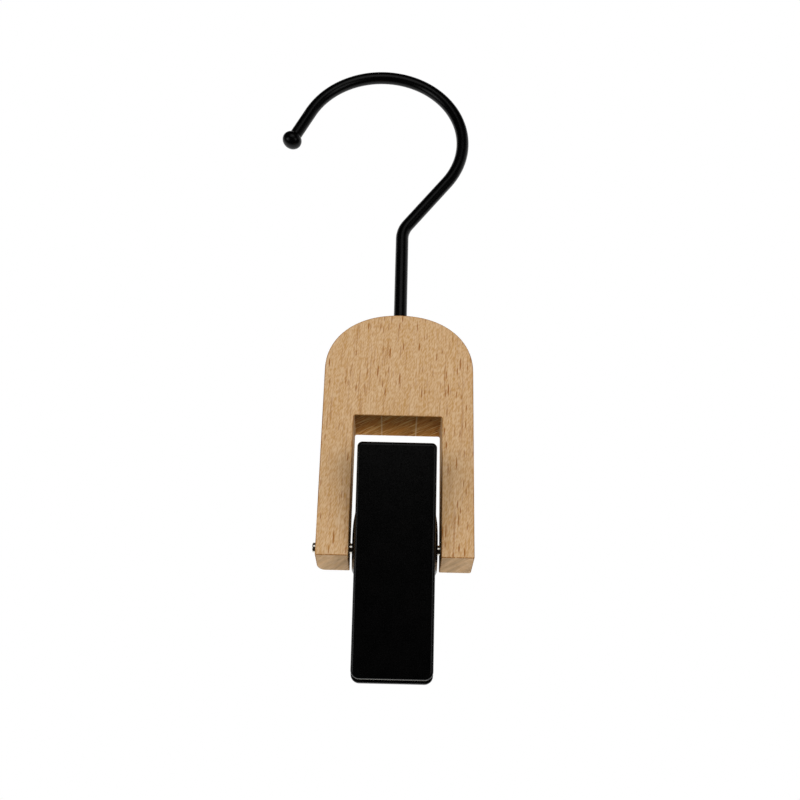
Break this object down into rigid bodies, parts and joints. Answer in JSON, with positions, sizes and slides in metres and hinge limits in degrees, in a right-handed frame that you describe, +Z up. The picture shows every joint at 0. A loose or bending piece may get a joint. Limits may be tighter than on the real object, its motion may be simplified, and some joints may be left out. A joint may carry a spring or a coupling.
{
  "type": "clip hanger",
  "caption": "Clip hanger: a wire hook swivels in an arched wooden block, and a sprung steel clip hangs on a pin between the block's legs to grip boots, hats or gloves.",
  "frame": {"origin": "top of the hook loop's inside, where the hanger sits on a rail", "axes": "+Z up along the hook's stem, +Y through the block's thickness away from the front, +X to the right seen from the front"},
  "size_m": [0.0621, 0.0326, 0.2052],
  "materials": {
    "beech": "sanded beech, thin clear lacquer",
    "black_paint": "satin black coating on steel",
    "nickel": "bright nickel plate on steel",
    "spring_steel": "zinc plated spring wire",
    "grey_vinyl": "soft pale grey vinyl"
  },
  "bodies": {
    "hook": {"hook_wire": "black_paint", "hook_ball_tip": "black_paint"},
    "frame": {"wood_body": "beech", "axle_pin": "nickel"},
    "clip_back": {"clip_back_plate": "black_paint", "back_jaw_pad": "grey_vinyl", "torsion_spring": "spring_steel"},
    "clip_front": {"clip_front_plate": "black_paint", "front_jaw_pad": "grey_vinyl"}
  },
  "joints": [
    {"name": "hook_swivel", "type": "hinge", "parent": "hook", "child": "frame", "pos_m": [0.00747, 0, -0.09443], "axis": [0, 0, 1], "continuous": true},
    {"name": "clip_swing", "type": "hinge", "parent": "frame", "child": "clip_back", "pos_m": [0.00747, 0, -0.16469], "axis": [1, 0, 0], "continuous": true},
    {"name": "jaw_open", "type": "hinge", "parent": "clip_back", "child": "clip_front", "pos_m": [0.00747, 0, -0.16469], "axis": [-1, 0, 0], "range_deg": [0, 50], "stiffness_Nm_per_rad": 0.4, "springref_deg": -40.11, "deforming": ["torsion_spring"]}
  ]
}
